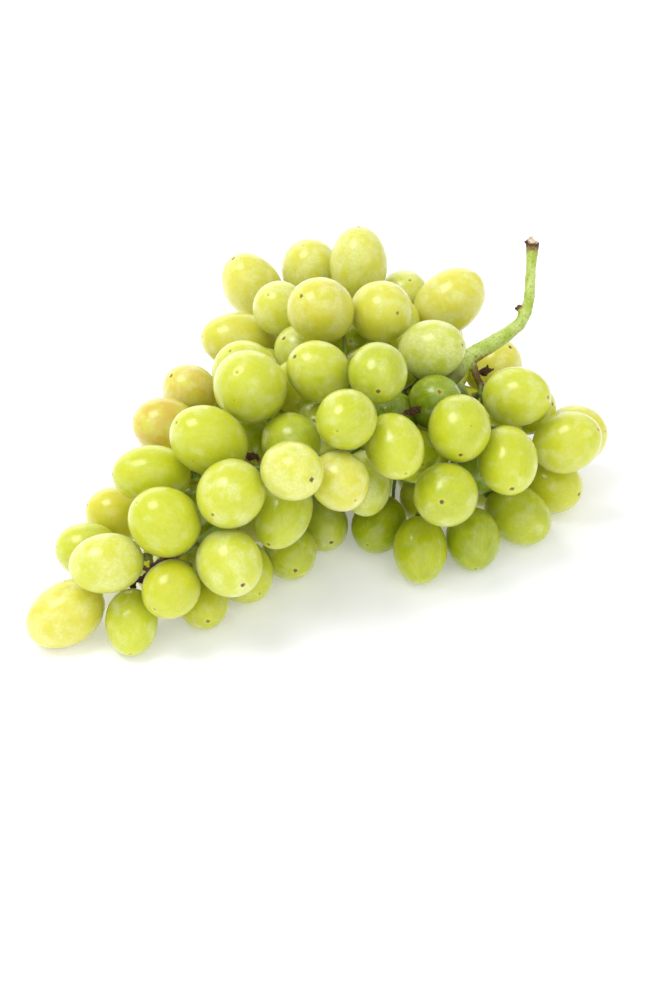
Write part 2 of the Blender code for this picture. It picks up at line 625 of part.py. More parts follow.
def make_stem(bunch, target):
    """Stalk, main stem, branches and twigs, grown together as one piece."""
    scrap = bpy.data.collections.new("stem_tubes")
    bpy.context.scene.collection.children.link(scrap)
    stalk, stem = smooth_line(STALK), smooth_line(MAIN_STEM)
    radii = list(taper(len(stalk), STALK_RADII)) + list(taper(len(stem), MAIN_STEM_RADII))[1:]
    for branch in BRANCHES:
        line = smooth_line(branch)
        tube(line, taper(len(line), BRANCH_RADII), scrap)
    tube(BUD, taper(len(BUD), BUD_RADII), scrap)
    for points, run_radii in grow_twigs(bunch).runs(bunch):
        tube(points, run_radii, scrap)
    trunk = tube(np.vstack([stalk, stem[1:]]), radii, target, resolution=2)
    stem_object = joined(trunk, scrap, "stem", target)
    stem_object.data.materials.append(finish("stem", STEM_GREEN, 0.6))
    return stem_object


def berry(bunch, index, name, collection):
    """An egg-shaped solid at the berry's place, its poles at the stalk and at the free end."""
    radius, half_length = bunch.radius[index], bunch.half[index] + bunch.radius[index]
    turn = mathutils.Vector(bunch.axis[index]).to_track_quat("Z", "Y").to_matrix().to_4x4()
    form = bmesh.new()
    bmesh.ops.create_uvsphere(form, u_segments=BERRY_SEGMENTS, v_segments=BERRY_RINGS, radius=MM)
    bmesh.ops.scale(form, vec=(radius, radius, half_length), verts=form.verts)
    bmesh.ops.transform(form, matrix=turn, verts=form.verts)
    bmesh.ops.translate(form, vec=bunch.middle[index] * MM, verts=form.verts)
    if bunch.on_table[index]:
        lowest = min(corner.co.z for corner in form.verts)
        bmesh.ops.translate(form, vec=(0, 0, -lowest), verts=form.verts)
    mesh = bpy.data.meshes.new(name)
    form.to_mesh(mesh)
    form.free()
    return new_object(name, mesh, collection)


def berry_colour(name):
    if name in AMBER_BERRIES:
        return AMBER
    if name.startswith("tip") or name in YELLOW_BERRIES:
        return YELLOW
    return SHADED_GREEN if name.startswith("cluster") else GREEN


def make_berries(bunch, target):
    """Each berry as a solid of its own, and those of a cluster as one solid."""
    clustered = [member for members in CLUSTERS.values() for member in members]
    for index, name in enumerate(bunch.names):
        if name not in clustered:
            obj = berry(bunch, index, name, target)
            obj.data.materials.append(finish(name, berry_colour(name), 0.3))
    for name, members in CLUSTERS.items():
        scrap = bpy.data.collections.new(name + "_berries")
        bpy.context.scene.collection.children.link(scrap)
        first, *others = [bunch.names.index(member) for member in members]
        base = berry(bunch, first, name + "_base", target)
        for index in others:
            berry(bunch, index, bunch.names[index], scrap)
        cluster = joined(base, scrap, name, target)
        cluster.data.materials.append(finish(name, berry_colour(name), 0.3))


def stand_on_origin(objects):
    """Shifts everything so that the middle of the outline is at x = y = 0, with the table at z = 0."""
    corners = np.array([corner.co for obj in objects for corner in obj.data.vertices])
    low, high = corners.min(axis=0), corners.max(axis=0)
    shift = mathutils.Vector((-(low[0] + high[0]) / 2, -(low[1] + high[1]) / 2, -low[2]))
    for obj in objects:
        obj.data.transform(mathutils.Matrix.Translation(shift))


def main():
    for obj in list(bpy.data.objects):
        bpy.data.objects.remove(obj)
    target = bpy.data.collections.new("bunch_of_grapes")
    bpy.context.scene.collection.children.link(target)
    bunch = Bunch()
    settle(bunch)
    make_stem(bunch, target)
    make_berries(bunch, target)
    for obj in target.objects:
        obj.data.shade_smooth()
    stand_on_origin(list(target.objects))


if __name__ == "__main__":
    main()
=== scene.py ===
import math
import random

import bmesh
import bpy
import numpy as np
from mathutils import Matrix, Vector, noise


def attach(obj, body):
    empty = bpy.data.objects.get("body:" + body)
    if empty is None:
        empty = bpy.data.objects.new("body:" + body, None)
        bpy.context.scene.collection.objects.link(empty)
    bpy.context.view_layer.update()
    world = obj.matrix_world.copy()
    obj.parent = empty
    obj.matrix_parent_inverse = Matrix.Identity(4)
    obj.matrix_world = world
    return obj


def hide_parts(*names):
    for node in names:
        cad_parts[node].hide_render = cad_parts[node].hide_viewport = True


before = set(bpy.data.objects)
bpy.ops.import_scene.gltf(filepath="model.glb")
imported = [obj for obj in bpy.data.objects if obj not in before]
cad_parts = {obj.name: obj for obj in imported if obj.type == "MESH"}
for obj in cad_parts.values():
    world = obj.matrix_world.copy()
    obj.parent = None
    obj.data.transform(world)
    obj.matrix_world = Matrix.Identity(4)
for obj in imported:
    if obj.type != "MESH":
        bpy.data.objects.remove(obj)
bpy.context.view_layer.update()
millimetre = 0.001


def hexColour(code):
    # an sRGB hex code as the linear colour that a shader wants
    parts = [int(code[i:i + 2], 16) / 255 for i in (1, 3, 5)]
    linear = [p / 12.92 if p <= 0.04045 else ((p + 0.055) / 1.055) ** 2.4 for p in parts]
    return (*linear, 1.0)


smoothStep = {"interpolation_type": "SMOOTHSTEP"}     # settings that many nodes share
clamped = {"operation": "MULTIPLY", "use_clamp": True}
mixColours = {"data_type": "RGBA"}


def addNode(tree, kind, settings=None, inputs=None):
    # settings are the node's own choices. inputs go by place in a list, or by name in a dictionary: another
    # node's output is linked, and anything else is set. It gives back the outputs.
    node = tree.nodes.new(kind)
    for key, value in (settings or {}).items():
        setattr(node, key, value)
    for key, value in inputs.items() if isinstance(inputs, dict) else enumerate(inputs or []):
        if isinstance(value, bpy.types.NodeSocket):
            tree.links.new(value, node.inputs[key])
        else:
            node.inputs[key].default_value = value
    return node.outputs


finding = {
    "weld": 0.002 * millimetre,
    "dent": math.radians(6),      # an edge that dents in more than this is where two berries meet
    "leastPoints": 9,             # a patch with no more than this is no berry
    "fitScale": 100,              # brings a berry's size near 1, where the fit is steady
}


def fitBerry(points):
    # the egg through the points: its middle, its half sizes and its directions, longest first
    middle = points.mean(0)
    x, y, z = ((points - middle) * finding["fitScale"]).T
    table = np.column_stack([x * x, y * y, z * z, 2 * x * y, 2 * x * z, 2 * y * z, 2 * x, 2 * y, 2 * z])
    q = np.linalg.lstsq(table, np.ones(len(points)), rcond=None)[0]
    form = np.array([[q[0], q[3], q[4]], [q[3], q[1], q[5]], [q[4], q[5], q[2]]])
    offset = -np.linalg.solve(form, q[6:])
    sizes, directions = np.linalg.eigh(form / (1 - q[6:] @ offset))
    return middle + offset / finding["fitScale"], 1 / finding["fitScale"] / np.sqrt(sizes), directions


def berryPatches(node):
    # the node's faces in groups, each one bounded by the creases where berries press together
    shape = bmesh.new()
    shape.from_mesh(node.data)
    bmesh.ops.remove_doubles(shape, verts=shape.verts, dist=finding["weld"])
    shape.normal_update()
    groups = []
    seen = set()
    for start in shape.faces:
        if start in seen:
            continue
        seen.add(start)
        group = [start]
        for face in group:
            for edge in face.edges:
                if edge.calc_face_angle_signed(0) < -finding["dent"]:
                    continue
                for other in edge.link_faces:
                    if other not in seen:
                        seen.add(other)
                        group.append(other)
        inside = set(group)
        corners = {v for face in group for v in face.verts}
        whole = [v.co[:] for v in corners if all(face in inside for face in v.link_faces)]
        groups.append(np.array(whole, float))
    shape.free()
    return [g for g in groups if len(g) > finding["leastPoints"]]


def findBerries(node, stemPoints):
    berries = []
    for points in berryPatches(node):
        middle, halves, directions = fitBerry(points)
        axis = directions[:, 0] / np.linalg.norm(directions[:, 0])
        ends = [middle + side * halves[0] * axis for side in (1, -1)]
        reach = [np.linalg.norm(stemPoints - end, axis=1).min() for end in ends]
        if reach[0] < reach[1]:
            axis = -axis          # the free end is the one away from the stalks
        berries.append({"middle": Vector(middle), "axis": Vector(axis), "length": 2 * halves[0],
                        "width": halves[1] + halves[2]})
    return berries


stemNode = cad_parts["stem"]
stemPoints = np.array([v.co[:] for v in stemNode.data.vertices], float)
found = {name: findBerries(node, stemPoints)
         for name, node in sorted(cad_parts.items()) if name != "stem"}
print("found", sum(len(b) for b in found.values()), "berries in", len(found), "nodes")

grape = {
    "around": 44,
    "along": 38,
    "poleCrowding": -0.33,        # below 0 draws the rings to the two ends, where the small features are
    "egg": -0.025,                # narrower at the free end
    "fullness": 1.02,             # the skin fills the hair of room that the solids leave
    "lump": 0.028,                # how far from a true egg, as a share of its size
    "seedStep": 7.31,             # from one berry to the next, so that no two have the same lumps
    "shoulder": 0.55 * millimetre,      # the little ring of skin that meets the stalk
    "shoulderWidth": 1.5 * millimetre,
    "groove": 0.25 * millimetre,        # the shallow ring round it
    "grooveWidth": 3.3 * millimetre,
    "scar": 0.22 * millimetre,          # the pit left by the flower at the free end
    "scarWidth": 0.6 * millimetre,
}


def makeGrapeTree():
    tree = bpy.data.node_groups.new("grape", "GeometryNodeTree")
    sockets = (("Width", "Float"), ("Length", "Float"), ("Around", "Int"), ("Along", "Int"),
               ("Pole Crowding", "Float"), ("Egg", "Float"), ("Lump", "Float"), ("Seed", "Float"),
               ("Shoulder", "Float"), ("Shoulder Width", "Float"), ("Groove", "Float"),
               ("Groove Width", "Float"), ("Scar", "Float"), ("Scar Width", "Float"),
               ("Tone", "Vector"), ("Blush", "Float"), ("Skin", "Material"))
    for name, kind in sockets:
        tree.interface.new_socket(name, in_out="INPUT", socket_type="NodeSocket" + kind)
    tree.interface.new_socket("Geometry", in_out="OUTPUT", socket_type="NodeSocketGeometry")
    given = addNode(tree, "NodeGroupInput")

    # a unit ball, its rings drawn to the ends
    ball = addNode(tree, "GeometryNodeMeshUVSphere", inputs=[given["Around"], given["Along"], 1.0])[0]
    place = addNode(tree, "GeometryNodeInputPosition")[0]
    x, y, z = addNode(tree, "ShaderNodeSeparateXYZ", inputs=[place])
    polar = addNode(tree, "ShaderNodeMath", {"operation": "ARCCOSINE"}, [z])[0]
    twice = addNode(tree, "ShaderNodeMath", {"operation": "MULTIPLY"}, [polar, 2.0])[0]
    pull = addNode(tree, "ShaderNodeMath", {"operation": "SINE"}, [twice])[0]
    crowded = addNode(tree, "ShaderNodeMath", {"operation": "MULTIPLY_ADD"},
                      [pull, given["Pole Crowding"], polar])[0]
    across = addNode(tree, "ShaderNodeMath", {"operation": "SINE"}, [crowded])[0]
    along = addNode(tree, "ShaderNodeMath", {"operation": "COSINE"}, [crowded])[0]
    flat = addNode(tree, "ShaderNodeVectorMath", {"operation": "MULTIPLY"}, [place, (1, 1, 0)])[0]
    outward = addNode(tree, "ShaderNodeVectorMath", {"operation": "NORMALIZE"}, [flat])[0]
    ring = addNode(tree, "ShaderNodeVectorMath", {"operation": "SCALE"}, {0: outward, "Scale": across})[0]
    upright = addNode(tree, "ShaderNodeCombineXYZ", inputs=[0.0, 0.0, along])[0]
    unit = addNode(tree, "ShaderNodeVectorMath", {"operation": "ADD"}, [ring, upright])[0]

    # slow swellings, different for every berry. They fade at the two ends, so that the stalk still meets
    # the skin.
    swelling = addNode(tree, "ShaderNodeTexNoise", {"noise_dimensions": "4D"},
                       {"Vector": unit, "W": given["Seed"], "Scale": 1.15, "Detail": 1.0})[0]
    squared = addNode(tree, "ShaderNodeMath", {"operation": "MULTIPLY"}, [across, across])[0]
    most = addNode(tree, "ShaderNodeMath", {"operation": "MULTIPLY"}, [squared, given["Lump"]])[0]
    upDown = addNode(tree, "ShaderNodeMath", {"operation": "MULTIPLY_ADD"}, [swelling, 2.0, -1.0])[0]
    grown = addNode(tree, "ShaderNodeMath", {"operation": "MULTIPLY_ADD"}, [upDown, most, 1.0])[0]
    taper = addNode(tree, "ShaderNodeMath", {"operation": "MULTIPLY_ADD"}, [given["Egg"], along, 1.0])[0]
    profile = addNode(tree, "ShaderNodeMath", {"operation": "MULTIPLY"}, [grown, taper])[0]
    halfWidth = addNode(tree, "ShaderNodeMath", {"operation": "MULTIPLY"}, [given["Width"], 0.5])[0]
    halfLength = addNode(tree, "ShaderNodeMath", {"operation": "MULTIPLY"}, [given["Length"], 0.5])[0]
    offAxis = addNode(tree, "ShaderNodeMath", {"operation": "MULTIPLY"}, [across, halfWidth])[0]

    # the features at the ends: each is a bump or a pit with a flat middle and soft sides
    stalkSide = addNode(tree, "ShaderNodeMath", {"operation": "LESS_THAN"}, [along, 0.0])[0]
    freeSide = addNode(tree, "ShaderNodeMath", {"operation": "SUBTRACT"}, [1.0, stalkSide])[0]
    middle = addNode(tree, "ShaderNodeMath", {"operation": "MULTIPLY"}, [along, halfLength])[0]
    height = addNode(tree, "ShaderNodeMath", {"operation": "MULTIPLY"}, [middle, grown])[0]
    for feature, side, direction in (("Shoulder", stalkSide, -1.0), ("Groove", stalkSide, 1.0),
                                     ("Scar", freeSide, -1.0)):
        share = addNode(tree, "ShaderNodeMath", {"operation": "DIVIDE"},
                        [offAxis, given[feature + " Width"]])[0]
        steep = addNode(tree, "ShaderNodeMath", {"operation": "POWER"}, [share, 4.0])[0]
        falling = addNode(tree, "ShaderNodeMath", {"operation": "MULTIPLY"}, [steep, -1.0])[0]
        bell = addNode(tree, "ShaderNodeMath", {"operation": "EXPONENT"}, [falling])[0]
        sided = addNode(tree, "ShaderNodeMath", {"operation": "MULTIPLY"}, [bell, side])[0]
        lift = addNode(tree, "ShaderNodeMath", {"operation": "MULTIPLY"}, [given[feature], direction])[0]
        height = addNode(tree, "ShaderNodeMath", {"operation": "MULTIPLY_ADD"}, [sided, lift, height])[0]

    reach = addNode(tree, "ShaderNodeMath", {"operation": "MULTIPLY"}, [halfWidth, profile])[0]
    girth = addNode(tree, "ShaderNodeVectorMath", {"operation": "SCALE"}, {0: ring, "Scale": reach})[0]
    lifted = addNode(tree, "ShaderNodeCombineXYZ", inputs=[0.0, 0.0, height])[0]
    final = addNode(tree, "ShaderNodeVectorMath", {"operation": "ADD"}, [girth, lifted])[0]
    kept = addNode(tree, "GeometryNodeSetPosition", inputs={"Geometry": ball, "Position": final})[0]
    ownPlace = addNode(tree, "ShaderNodeVectorMath", {"operation": "SCALE"}, {0: place, "Scale": 1000.0})[0]
    for name, kind, value in (("ownPlace", "FLOAT_VECTOR", ownPlace), ("tone", "FLOAT_VECTOR", given["Tone"]),
                              ("blush", "FLOAT", given["Blush"])):
        kept = addNode(tree, "GeometryNodeStoreNamedAttribute", {"data_type": kind, "domain": "POINT"},
                       {"Geometry": kept, "Name": name, "Value": value})[0]
    smooth = addNode(tree, "GeometryNodeSetShadeSmooth", inputs={"Geometry": kept})[0]
    real = addNode(tree, "GeometryNodeRealizeInstances", inputs=[smooth])[0]
    skinned = addNode(tree, "GeometryNodeSetMaterial",
                      inputs={"Geometry": real, "Material": given["Skin"]})[0]
    addNode(tree, "NodeGroupOutput", inputs=[skinned])
    return tree


def growGrape(tree, name, berry, values):
    # one berry from the tree, as a plain mesh in its place
    blank = bpy.data.objects.new(name, bpy.data.meshes.new(name))
    bpy.context.scene.collection.objects.link(blank)
    modifier = blank.modifiers.new("grape", "NODES")
    modifier.node_group = tree
    identifiers = {item.name: item.identifier for item in tree.interface.items_tree if item.in_out == "INPUT"}
    for key, value in values.items():
        modifier[identifiers[key]] = value
    shape = blank.evaluated_get(bpy.context.evaluated_depsgraph_get())
    mesh = bpy.data.meshes.new_from_object(shape)
    bpy.data.objects.remove(blank)
    turn = berry["axis"].to_track_quat("Z", "Y").to_matrix().to_4x4()
    mesh.transform(Matrix.Translation(berry["middle"]) @ turn)
    return mesh


skin = {
    "greenAndShade": "#7A9203",           # inner berries: greener as less ripe, and darker with painted shade where the rest shade them
    "usual": "#BFC70A",
    "ripe": "#DAD048",            # outer berries, coloured by the sun
    "pale": "#D8DC72",            # flesh that shows through a thin place in the skin
    "wax": "#EDF2DF",
    "amber": "#D29A4E",
    "cork": "#6A3A1E",
    "fleck": "#96662C",
    # pattern sizes in millimetres, from one patch to the next
    "mottle": 6.0,
    "grain": 1.1,
    "flesh": 3.4,
    "russet": 5.0,
    "bloom": 4.6,
    "frost": 0.7,
    "dimple": 3.8,
    "scarRadius": 0.55,
    "raggedness": 0.9,            # of the edge of the cork dot
    "haloRadius": 1.7,
    "throatShadeRadii": (1.2, 3.4),    # darkest within the first, gone at the second
    "fleckSpacing": 5.5,
    "fleckRadii": (0.055, 0.105),       # the same for a fleck, as a share of the spacing
    # how strongly each shows, from 0 to 1
    "unevenness": 0.5,            # of the ripeness from place to place
    "thinPlaces": 0.16,
    "densePlaces": 0.15,
    "blushPatches": 0.75,
    "veins": 0.16,
    "waxyBloom": 0.25,            # how much more bloom a waxy berry has than a bare one
    "bloomStrength": 0.30,
    "haze": 0.38,                 # the even veil of wax between the patches of bloom
    "haloStrength": 0.30,
    "fleckStrength": 0.6,
    "fleckless": 0.72,            # the share of places that have none
    "throatShadeStrength": 0.45,
    # what light does
    "depth": 12.0 * millimetre,   # how far light goes in the flesh
    "depthByColour": (1.0, 1.0, 0.22),      # blue is soon lost, so what comes out is yellow
    "fleshIor": 1.40,
    "roughness": 0.36,
    "bloomRoughness": 0.22,       # added by the bloom
    "corkRoughness": 0.3,
    "specular": 0.2,
    "waxIor": 1.47,               # the clear wax over all
    "waxRoughness": 0.20,
    "rimWeight": 1.0,             # the fine down of wax that lights up along the edge of a berry
    "rimRoughness": 0.11,
    "rimTint": (1.0, 1.0, 0.72, 1.0),
    "bumpStrength": 0.60,
    "bumpDepth": 0.35 * millimetre,
    "grainBump": 0.09,            # the fine grain's part in it
}


def makeSkin():
    # white table grape: thin waxy skin over clear wet flesh. Light goes in and comes out yellow, the bloom of
    # wax breaks up the gloss, and a cork dot is left at the free end.
    material = bpy.data.materials.new("grape_skin")
    material.use_nodes = True
    tree = material.node_tree
    tree.nodes.clear()

    coordinates = addNode(tree, "ShaderNodeTexCoord")["Object"]
    inPlace = addNode(tree, "ShaderNodeVectorMath", {"operation": "SCALE"},
                      {0: coordinates, "Scale": 1000.0})[0]
    own = addNode(tree, "ShaderNodeAttribute", {"attribute_name": "ownPlace"})["Vector"]
    toneGiven = addNode(tree, "ShaderNodeAttribute", {"attribute_name": "tone"})["Vector"]
    ripe, scarDark, waxy = addNode(tree, "ShaderNodeSeparateXYZ", inputs=[toneGiven])
    blush = addNode(tree, "ShaderNodeAttribute", {"attribute_name": "blush"})["Fac"]
    alongAxis = addNode(tree, "ShaderNodeSeparateXYZ", inputs=[own])[2]
    outward = addNode(tree, "ShaderNodeVectorMath", {"operation": "MULTIPLY"}, [own, (1, 1, 0)])[0]
    offAxis = addNode(tree, "ShaderNodeVectorMath", {"operation": "LENGTH"}, [outward])[1]
    freeEnd = addNode(tree, "ShaderNodeMath", {"operation": "GREATER_THAN"}, [alongAxis, 0.0])[0]
    stalkEnd = addNode(tree, "ShaderNodeMath", {"operation": "SUBTRACT"}, [1.0, freeEnd])[0]

    clouds = {}
    for name, spacing, detail in (("mottle", skin["mottle"], 1.5), ("grain", skin["grain"], 2.0),
                                  ("flesh", skin["flesh"], 2.5), ("russet", skin["russet"], 3.0),
                                  ("bloom", skin["bloom"], 4.0), ("frost", skin["frost"], 3.0),
                                  ("dimple", skin["dimple"], 1.0)):
        clouds[name] = addNode(tree, "ShaderNodeTexNoise",
                               inputs={"Vector": inPlace, "Scale": 1 / spacing, "Detail": detail})[0]

    # the veins of the flesh run from end to end under the skin
    ringPlace = addNode(tree, "ShaderNodeVectorMath", {"operation": "NORMALIZE"}, [outward])[0]
    stretched = addNode(tree, "ShaderNodeVectorMath", {"operation": "MULTIPLY_ADD"},
                        [own, (0, 0, 0.06), ringPlace])[0]
    veinPlace = addNode(tree, "ShaderNodeVectorMath", {"operation": "MULTIPLY_ADD"},
                        [inPlace, (0.012, 0.012, 0.012), stretched])[0]
    veinClouds = addNode(tree, "ShaderNodeTexNoise",
                         inputs={"Vector": veinPlace, "Scale": 4.8, "Detail": 1.5})[0]
    fromVein = addNode(tree, "ShaderNodeMath", {"operation": "SUBTRACT"}, [veinClouds, 0.5])[0]
    fromVein = addNode(tree, "ShaderNodeMath", {"operation": "ABSOLUTE"}, [fromVein])[0]
    veins = addNode(tree, "ShaderNodeMapRange", smoothStep, [fromVein, 0.0, 0.07, skin["veins"], 0.0])[0]

    # how ripe, place by place. A map range takes a value, where it starts and ends, and what it gives at
    # each.
    uneven = addNode(tree, "ShaderNodeMath", {"operation": "MULTIPLY_ADD"},
                     [clouds["mottle"], skin["unevenness"], -skin["unevenness"] / 2])[0]
    ripeness = addNode(tree, "ShaderNodeMath", {"operation": "ADD"}, [ripe, uneven])[0]
    greenToUsual = addNode(tree, "ShaderNodeMapRange", smoothStep, [ripeness, -0.9, 0.0])[0]
    usualToRipe = addNode(tree, "ShaderNodeMapRange", smoothStep, [ripeness, 0.0, 0.9])[0]
    thin = addNode(tree, "ShaderNodeMapRange", smoothStep,
                   [clouds["flesh"], 0.45, 0.75, 0.0, skin["thinPlaces"]])[0]
    dense = addNode(tree, "ShaderNodeMapRange", {}, [clouds["grain"], 0.4, 1.0, 0.0, skin["densePlaces"]])[0]
    sunned = addNode(tree, "ShaderNodeMapRange", smoothStep,
                     [clouds["russet"], 0.28, 0.62, 0.0, skin["blushPatches"]])[0]
    reddened = addNode(tree, "ShaderNodeMath", clamped, [blush, sunned])[0]

    # bloom: the dull wax, rubbed off in places
    waxed = addNode(tree, "ShaderNodeMath", {"operation": "MULTIPLY_ADD"},
                    [waxy, skin["waxyBloom"], clouds["bloom"]])[0]
    waxed = addNode(tree, "ShaderNodeMapRange", smoothStep, [waxed, 0.58, 0.84])[0]
    frosty = addNode(tree, "ShaderNodeMapRange", smoothStep, [clouds["frost"], 0.38, 0.62, 0.45, 1.0])[0]
    bloom = addNode(tree, "ShaderNodeMath", clamped, [waxed, frosty])[0]
    bloomShare = addNode(tree, "ShaderNodeMath", clamped, [bloom, skin["bloomStrength"]])[0]
    haze = addNode(tree, "ShaderNodeMath", clamped, [waxy, skin["haze"]])[0]

    # the cork dot at the free end, ragged, in a paler ring
    scarClouds = addNode(tree, "ShaderNodeTexNoise", inputs={"Vector": own, "Scale": 1.6, "Detail": 1.0})[0]
    scarEdge = addNode(tree, "ShaderNodeMath", {"operation": "MULTIPLY_ADD"},
                       [scarClouds, skin["raggedness"], -skin["raggedness"] / 2])[0]
    ragged = addNode(tree, "ShaderNodeMath", {"operation": "ADD"}, [offAxis, scarEdge])[0]
    paleRing = addNode(tree, "ShaderNodeMapRange", smoothStep,
                       [ragged, 0.5, skin["haloRadius"], skin["haloStrength"], 0.0])[0]
    halo = addNode(tree, "ShaderNodeMath", clamped, [paleRing, freeEnd])[0]
    dotSize = addNode(tree, "ShaderNodeMath", {"operation": "MULTIPLY_ADD"}, [scarDark, 0.6, 0.7])[0]
    inDot = addNode(tree, "ShaderNodeMath", {"operation": "DIVIDE"}, [ragged, dotSize])[0]
    dot = addNode(tree, "ShaderNodeMapRange", smoothStep,
                  [inDot, skin["scarRadius"] * 0.7, skin["scarRadius"] * 1.3, 1.0, 0.0])[0]
    dot = addNode(tree, "ShaderNodeMath", clamped, [dot, freeEnd])[0]
    darkness = addNode(tree, "ShaderNodeMath", {"operation": "MULTIPLY_ADD"}, [scarDark, 0.6, 0.35])[0]
    corked = addNode(tree, "ShaderNodeMath", clamped, [dot, darkness])[0]

    # a few russet flecks where the wind has rubbed a berry
    cells = addNode(tree, "ShaderNodeTexVoronoi",
                    inputs={"Vector": inPlace, "Scale": 1 / skin["fleckSpacing"]})
    chance = addNode(tree, "ShaderNodeSeparateColor", inputs=[cells["Color"]])[0]
    roughEdge = addNode(tree, "ShaderNodeMath", {"operation": "MULTIPLY_ADD"},
                        [clouds["grain"], 0.06, cells["Distance"]])[0]
    near = addNode(tree, "ShaderNodeMapRange", smoothStep,
                   [roughEdge, *skin["fleckRadii"], skin["fleckStrength"], 0.0])[0]
    few = addNode(tree, "ShaderNodeMath", {"operation": "GREATER_THAN"}, [chance, skin["fleckless"]])[0]
    fleck = addNode(tree, "ShaderNodeMath", clamped, [near, few])[0]

    # painted shade: the skin is darkened a little in the hollow where it draws in round the stalk
    throatShade = addNode(tree, "ShaderNodeMapRange", smoothStep,
                     [offAxis, *skin["throatShadeRadii"], skin["throatShadeStrength"], 0.0])[0]
    throatShade = addNode(tree, "ShaderNodeMath", clamped, [throatShade, stalkEnd])[0]

    base = hexColour(skin["greenAndShade"])
    for share, colour in ((greenToUsual, "usual"), (usualToRipe, "ripe"), (haze, "pale"), (thin, "pale"),
                          (veins, "pale"), (dense, "greenAndShade"), (reddened, "amber"), (bloomShare, "wax"),
                          (halo, "pale"), (corked, "cork"), (fleck, "fleck"), (throatShade, "greenAndShade")):
        base = addNode(tree, "ShaderNodeMix", mixColours, {0: share, 6: base, 7: hexColour(skin[colour])})[2]

    rough = addNode(tree, "ShaderNodeMath", {"operation": "MULTIPLY_ADD"},
                    [bloom, skin["bloomRoughness"], skin["roughness"]])[0]
    rough = addNode(tree, "ShaderNodeMath", {"operation": "MULTIPLY_ADD"},
                    [dot, skin["corkRoughness"], rough])[0]
    waves = addNode(tree, "ShaderNodeMath", {"operation": "MULTIPLY_ADD"},
                    [clouds["grain"], skin["grainBump"], clouds["dimple"]])[0]
    bump = addNode(tree, "ShaderNodeBump", inputs={
        "Strength": skin["bumpStrength"], "Distance": skin["bumpDepth"], "Height": waves})[0]
    surface = addNode(tree, "ShaderNodeBsdfPrincipled", inputs={
        "Base Color": base, "Roughness": rough, "Normal": bump, "IOR": skin["fleshIor"],
        "Specular IOR Level": skin["specular"], "Subsurface Weight": 1.0,
        "Subsurface Radius": skin["depthByColour"], "Subsurface Scale": skin["depth"],
        "Subsurface Anisotropy": 0.0,
        "Coat Weight": 1.0, "Coat Roughness": skin["waxRoughness"], "Coat IOR": skin["waxIor"],
        "Sheen Weight": skin["rimWeight"], "Sheen Roughness": skin["rimRoughness"],
        "Sheen Tint": skin["rimTint"]})[0]
    addNode(tree, "ShaderNodeOutputMaterial", inputs=[surface])
    return material


berryTonesAndLight = {
    # ripeness from -1 green to 1 yellow, bloom from 0 to 1, blush from 0 to 1. Ripeness and bloom also carry
    # painted light and shade: berries in shade are set greener and darker, some the lamps leave dark are set
    # yellower and lighter
    "tip_1": (0.75, 0.7, 0.0), "tip_2": (-0.1, 0.5, 0.0), "tip_3": (0.35, 0.8, 0.0),
    "tip_4": (0.1, 0.5, 0.0), "tip_5": (-0.1, 0.3, 0.12), "tip_6": (-0.2, 0.2, 0.10),
    "tip_7": (0.1, 0.8, 0.0), "tip_8": (0.1, 0.3, 0.0),
    "low_1": (0.1, 0.3, 0.0), "low_2": (0.5, 0.1, 0.1), "low_3": (0.15, 0.2, 0.0), "low_4": (0.5, 0.5, 0.6),
    "low_5": (0.7, 0.7, 0.45), "low_6": (0.1, 0.3, 0.0), "low_7": (0.15, 0.6, 0.0),
    "mid_1": (0.15, 0.5, 0.0), "mid_2": (0.25, 0.5, 0.0), "mid_3": (0.55, 0.6, 0.05),
    "mid_4": (0.7, 0.8, 0.0), "mid_5": (0.4, 0.9, 0.0), "mid_6": (0.5, 0.6, 0.12),
    "mid_8": (0.15, 0.5, 0.0), "mid_10": (-0.2, 0.4, 0.0), "mid_11": (-0.4, 0.3, 0.0),
    "mid_12": (0.3, 0.9, 0.05), "mid_13": (0.35, 0.8, 0.15), "mid_14": (-0.25, 0.4, 0.0),
    "mid_15": (-0.3, 0.4, 0.0), "mid_16": (-0.4, 0.5, 0.0), "mid_17": (-0.3, 0.5, 0.0),
    "top_1": (0.55, 0.9, 0.0), "top_2": (0.55, 0.95, 0.0), "top_3": (0.5, 0.6, 0.0),
    "top_4": (0.3, 1.0, 0.0), "top_5": (0.85, 0.8, 0.0), "top_6": (-0.3, 1.0, 0.0),
    "top_7": (-0.3, 0.4, 0.0), "top_8": (0.2, 0.3, 0.0),
    "right_1": (0.9, 0.6, 0.0), "right_2": (0.15, 0.5, 0.0), "right_6": (-0.15, 0.3, 0.0),
    "right_7": (0.0, 0.4, 0.0), "right_8": (0.0, 0.3, 0.0), "right_9": (-0.45, 0.1, 0.0),
    "right_10": (-0.3, 0.1, 0.0), "right_11": (-0.25, 0.3, 0.0), "right_12": (-0.3, 0.8, 0.0),
    "right_13": (-0.5, 0.0, 0.0),
    "wing_1": (0.25, 0.5, 0.0), "wing_2": (0.55, 0.6, 0.0), "wing_3": (0.3, 0.2, 0.0),
    "wing_4": (-0.3, 0.3, 0.0),
}
# painted shade: a berry with many near it gets a greener, darker tone, partly as it ripens less and partly
# for the shade the rest of the bunch casts on it
crowdingShade = {
    "reach": 26 * millimetre,     # berries nearer than this shade each other
    "open": 6,                    # with so few near, a berry ripens yellow
    "deep": 15,                   # with so many, it stays green, darkened with painted shade
    "openRipeness": 0.4,
    "ripenessAndLightLost": 1.15,         # from the open to the deep
    "bloom": 0.15,
}
